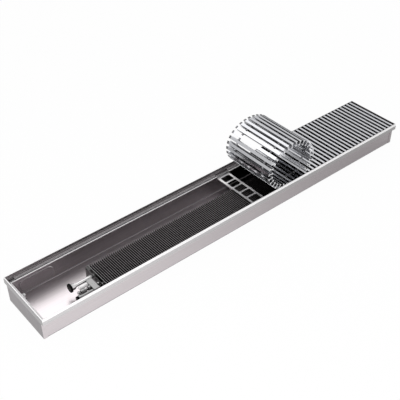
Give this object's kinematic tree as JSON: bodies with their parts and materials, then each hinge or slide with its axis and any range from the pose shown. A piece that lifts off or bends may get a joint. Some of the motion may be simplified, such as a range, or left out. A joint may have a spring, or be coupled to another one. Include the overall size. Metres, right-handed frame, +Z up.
{
  "type": "trench convector heater",
  "caption": "Long floor trench heater: sheet trough with a framed edge, finned exchanger with valve and capped connections, lift-out crossbar, and a roll-up bar grille partly rolled back.",
  "frame": {"origin": "middle of the underside of the trough", "axes": "+X along the trench from the connection end, +Y across it towards the pipe entry side, +Z up"},
  "size_m": [1.812, 0.26, 0.2927],
  "materials": {
    "casing_sheet": "zinc-coated sheet, satin",
    "end_sheet": "brushed sheet",
    "entry_sheet": "zinc-coated sheet, dull",
    "frame_aluminium": "natural anodised, satin",
    "strip_rubber": "pale grey, matt",
    "small_steel": "zinc plated",
    "crossbar_sheet": "zinc-coated sheet, satin",
    "fin_aluminium": "bright rolled foil",
    "bracket_sheet": "zinc-coated sheet, dull",
    "plated_tube": "drawn and nickel plated",
    "plated_brass": "nickel plated",
    "valve_metal": "cast and blasted, nickel plated",
    "cap_plastic": "moulded, satin",
    "grille_aluminium": "natural anodised, satin",
    "spring_steel": "drawn wire",
    "spacer_plastic": "moulded, matt"
  },
  "bodies": {
    "casing": {"trough": "casing_sheet", "end_wall_left": "end_sheet", "end_wall_right": "end_sheet", "pipe_entry_plate": "entry_sheet", "frame_front": "frame_aluminium", "frame_back": "frame_aluminium", "frame_left": "frame_aluminium", "frame_right": "frame_aluminium", "corner_brackets": "small_steel", "frame_screws": "small_steel", "damping_strips": "strip_rubber", "fin_block": "fin_aluminium", "exchanger_end_plates": "fin_aluminium", "exchanger_brackets": "bracket_sheet", "bracket_screws": "small_steel", "return_tube": "plated_tube", "supply_tube": "plated_tube", "return_bend": "plated_tube", "valve_body": "valve_metal", "valve_insert": "plated_brass", "levelling_nuts": "small_steel"},
    "crossbar": {"crossbar": "crossbar_sheet"},
    "return_nut": {"return_nut": "plated_brass"},
    "return_cap": {"return_cap": "cap_plastic"},
    "valve_pin": {"valve_pin": "plated_brass"},
    "regulating_ring": {"regulating_ring": "valve_metal"},
    "supply_cap": {"supply_cap": "cap_plastic"},
    "bleed_screw": {"bleed_screw": "plated_brass"},
    "levelling_screw_fl": {"levelling_screw_fl": "plated_brass"},
    "levelling_screw_fr": {"levelling_screw_fr": "plated_brass"},
    "levelling_screw_bl": {"levelling_screw_bl": "plated_brass"},
    "levelling_screw_br": {"levelling_screw_br": "plated_brass"},
    "grille": {"grille_flat_bars": "grille_aluminium", "grille_link_springs": "spring_steel", "grille_spacers": "spacer_plastic"},
    "roll_bar_01": {"roll_bar_01": "grille_aluminium"},
    "roll_bar_02": {"roll_bar_02": "grille_aluminium"},
    "roll_bar_03": {"roll_bar_03": "grille_aluminium"},
    "roll_bar_04": {"roll_bar_04": "grille_aluminium"},
    "roll_bar_05": {"roll_bar_05": "grille_aluminium"},
    "roll_bar_06": {"roll_bar_06": "grille_aluminium"},
    "roll_bar_07": {"roll_bar_07": "grille_aluminium"},
    "roll_bar_08": {"roll_bar_08": "grille_aluminium"},
    "roll_bar_09": {"roll_bar_09": "grille_aluminium"},
    "roll_bar_10": {"roll_bar_10": "grille_aluminium"},
    "roll_bar_11": {"roll_bar_11": "grille_aluminium"},
    "roll_bar_12": {"roll_bar_12": "grille_aluminium"},
    "roll_bar_13": {"roll_bar_13": "grille_aluminium"},
    "roll_bar_14": {"roll_bar_14": "grille_aluminium"},
    "roll_bar_15": {"roll_bar_15": "grille_aluminium"},
    "roll_bar_16": {"roll_bar_16": "grille_aluminium"},
    "roll_bar_17": {"roll_bar_17": "grille_aluminium"},
    "roll_bar_18": {"roll_bar_18": "grille_aluminium"},
    "roll_bar_19": {"roll_bar_19": "grille_aluminium"},
    "roll_bar_20": {"roll_bar_20": "grille_aluminium"},
    "roll_bar_21": {"roll_bar_21": "grille_aluminium"},
    "roll_bar_22": {"roll_bar_22": "grille_aluminium"},
    "roll_bar_23": {"roll_bar_23": "grille_aluminium"},
    "roll_bar_24": {"roll_bar_24": "grille_aluminium"},
    "roll_bar_25": {"roll_bar_25": "grille_aluminium"},
    "roll_bar_26": {"roll_bar_26": "grille_aluminium"}
  },
  "joints": [
    {"name": "crossbar_lift", "type": "slide", "parent": "casing", "child": "crossbar", "axis": [0, 0, 1], "range_m": [0, 0.06]},
    {"name": "return_nut_turn", "type": "hinge", "parent": "casing", "child": "return_nut", "pos_m": [-0.716, -0.01, 0.045], "axis": [1, 0, 0], "continuous": true},
    {"name": "return_cap_pull", "type": "slide", "parent": "return_nut", "child": "return_cap", "axis": [-1, 0, 0], "range_m": [0, 0.02]},
    {"name": "valve_pin_press", "type": "slide", "parent": "casing", "child": "valve_pin", "axis": [1, 0, 0], "range_m": [0, 0.0025], "stiffness_N_per_m": 2000},
    {"name": "regulating_ring_turn", "type": "hinge", "parent": "casing", "child": "regulating_ring", "pos_m": [-0.702, -0.052, 0.045], "axis": [1, 0, 0], "range_deg": [0, 300]},
    {"name": "supply_cap_pull", "type": "slide", "parent": "casing", "child": "supply_cap", "axis": [-1, 0, 0], "range_m": [0, 0.02]},
    {"name": "bleed_screw_turn", "type": "hinge", "parent": "casing", "child": "bleed_screw", "pos_m": [-0.648, -0.066, 0.059], "axis": [0, 0, 1], "range_deg": [0, 360]},
    {"name": "levelling_screw_fl_drive", "type": "slide", "parent": "casing", "child": "levelling_screw_fl", "axis": [0, 0, -1], "range_m": [0, 0.018]},
    {"name": "levelling_screw_fr_drive", "type": "slide", "parent": "casing", "child": "levelling_screw_fr", "axis": [0, 0, -1], "range_m": [0, 0.018]},
    {"name": "levelling_screw_bl_drive", "type": "slide", "parent": "casing", "child": "levelling_screw_bl", "axis": [0, 0, -1], "range_m": [0, 0.018]},
    {"name": "levelling_screw_br_drive", "type": "slide", "parent": "casing", "child": "levelling_screw_br", "axis": [0, 0, -1], "range_m": [0, 0.018]},
    {"name": "grille_lift", "type": "slide", "parent": "casing", "child": "grille", "axis": [0, 0, 1], "range_m": [0, 0.1]},
    {"name": "link_01", "type": "hinge", "parent": "grille", "child": "roll_bar_01", "pos_m": [0.235, 0, 0.094], "axis": [0, 1, 0], "range_deg": [-8.75, 0]},
    {"name": "link_02", "type": "hinge", "parent": "roll_bar_01", "child": "roll_bar_02", "pos_m": [0.21326, 0, 0.09735], "axis": [0, 1, 0], "range_deg": [-8.92, 0]},
    {"name": "link_03", "type": "hinge", "parent": "roll_bar_02", "child": "roll_bar_03", "pos_m": [0.19229, 0, 0.10403], "axis": [0, 1, 0], "range_deg": [-9.44, 0]},
    {"name": "link_04", "type": "hinge", "parent": "roll_bar_03", "child": "roll_bar_04", "pos_m": [0.17271, 0, 0.11405], "axis": [0, 1, 0], "range_deg": [-10.31, 0]},
    {"name": "link_05", "type": "hinge", "parent": "roll_bar_04", "child": "roll_bar_05", "pos_m": [0.15524, 0, 0.12742], "axis": [0, 1, 0], "range_deg": [-11.52, 0]},
    {"name": "link_06", "type": "hinge", "parent": "roll_bar_05", "child": "roll_bar_06", "pos_m": [0.14079, 0, 0.14401], "axis": [0, 1, 0], "range_deg": [-13.01, 0]},
    {"name": "link_07", "type": "hinge", "parent": "roll_bar_06", "child": "roll_bar_07", "pos_m": [0.13045, 0, 0.16343], "axis": [0, 1, 0], "range_deg": [-14.59, 0]},
    {"name": "link_08", "type": "hinge", "parent": "roll_bar_07", "child": "roll_bar_08", "pos_m": [0.12533, 0, 0.18482], "axis": [0, 1, 0], "range_deg": [-15.84, 0]},
    {"name": "link_09", "type": "hinge", "parent": "roll_bar_08", "child": "roll_bar_09", "pos_m": [0.12625, 0, 0.20681], "axis": [0, 1, 0], "range_deg": [-16.24, 0]},
    {"name": "link_10", "type": "hinge", "parent": "roll_bar_09", "child": "roll_bar_10", "pos_m": [0.13328, 0, 0.22765], "axis": [0, 1, 0], "range_deg": [-15.48, 0]},
    {"name": "link_11", "type": "hinge", "parent": "roll_bar_10", "child": "roll_bar_11", "pos_m": [0.14562, 0, 0.24587], "axis": [0, 1, 0], "range_deg": [-13.89, 0]},
    {"name": "link_12", "type": "hinge", "parent": "roll_bar_11", "child": "roll_bar_12", "pos_m": [0.16197, 0, 0.26059], "axis": [0, 1, 0], "range_deg": [-12.11, 0]},
    {"name": "link_13", "type": "hinge", "parent": "roll_bar_12", "child": "roll_bar_13", "pos_m": [0.18104, 0, 0.27155], "axis": [0, 1, 0], "range_deg": [-10.61, 0]},
    {"name": "link_14", "type": "hinge", "parent": "roll_bar_13", "child": "roll_bar_14", "pos_m": [0.20181, 0, 0.27881], "axis": [0, 1, 0], "range_deg": [-9.57, 0]},
    {"name": "link_15", "type": "hinge", "parent": "roll_bar_14", "child": "roll_bar_15", "pos_m": [0.22349, 0, 0.28252], "axis": [0, 1, 0], "range_deg": [-8.96, 0]},
    {"name": "link_16", "type": "hinge", "parent": "roll_bar_15", "child": "roll_bar_16", "pos_m": [0.24549, 0, 0.28281], "axis": [0, 1, 0], "range_deg": [-8.75, 0]},
    {"name": "link_17", "type": "hinge", "parent": "roll_bar_16", "child": "roll_bar_17", "pos_m": [0.26728, 0, 0.27974], "axis": [0, 1, 0], "range_deg": [-8.9, 0]},
    {"name": "link_18", "type": "hinge", "parent": "roll_bar_17", "child": "roll_bar_18", "pos_m": [0.28833, 0, 0.27335], "axis": [0, 1, 0], "range_deg": [-9.38, 0]},
    {"name": "link_19", "type": "hinge", "parent": "roll_bar_18", "child": "roll_bar_19", "pos_m": [0.30805, 0, 0.2636], "axis": [0, 1, 0], "range_deg": [-10.22, 0]},
    {"name": "link_20", "type": "hinge", "parent": "roll_bar_19", "child": "roll_bar_20", "pos_m": [0.32573, 0, 0.25051], "axis": [0, 1, 0], "range_deg": [-11.4, 0]},
    {"name": "link_21", "type": "hinge", "parent": "roll_bar_20", "child": "roll_bar_21", "pos_m": [0.34048, 0, 0.23419], "axis": [0, 1, 0], "range_deg": [-12.88, 0]},
    {"name": "link_22", "type": "hinge", "parent": "roll_bar_21", "child": "roll_bar_22", "pos_m": [0.35121, 0, 0.21499], "axis": [0, 1, 0], "range_deg": [-14.46, 0]},
    {"name": "link_23", "type": "hinge", "parent": "roll_bar_22", "child": "roll_bar_23", "pos_m": [0.35681, 0, 0.19371], "axis": [0, 1, 0], "range_deg": [-15.76, 0]},
    {"name": "link_24", "type": "hinge", "parent": "roll_bar_23", "child": "roll_bar_24", "pos_m": [0.35642, 0, 0.17171], "axis": [0, 1, 0], "range_deg": [-16.25, 0]},
    {"name": "link_25", "type": "hinge", "parent": "roll_bar_24", "child": "roll_bar_25", "pos_m": [0.34989, 0, 0.1507], "axis": [0, 1, 0], "range_deg": [-15.59, 0]},
    {"name": "link_26", "type": "hinge", "parent": "roll_bar_25", "child": "roll_bar_26", "pos_m": [0.33796, 0, 0.13222], "axis": [0, 1, 0], "range_deg": [-14.04, 0]}
  ]
}
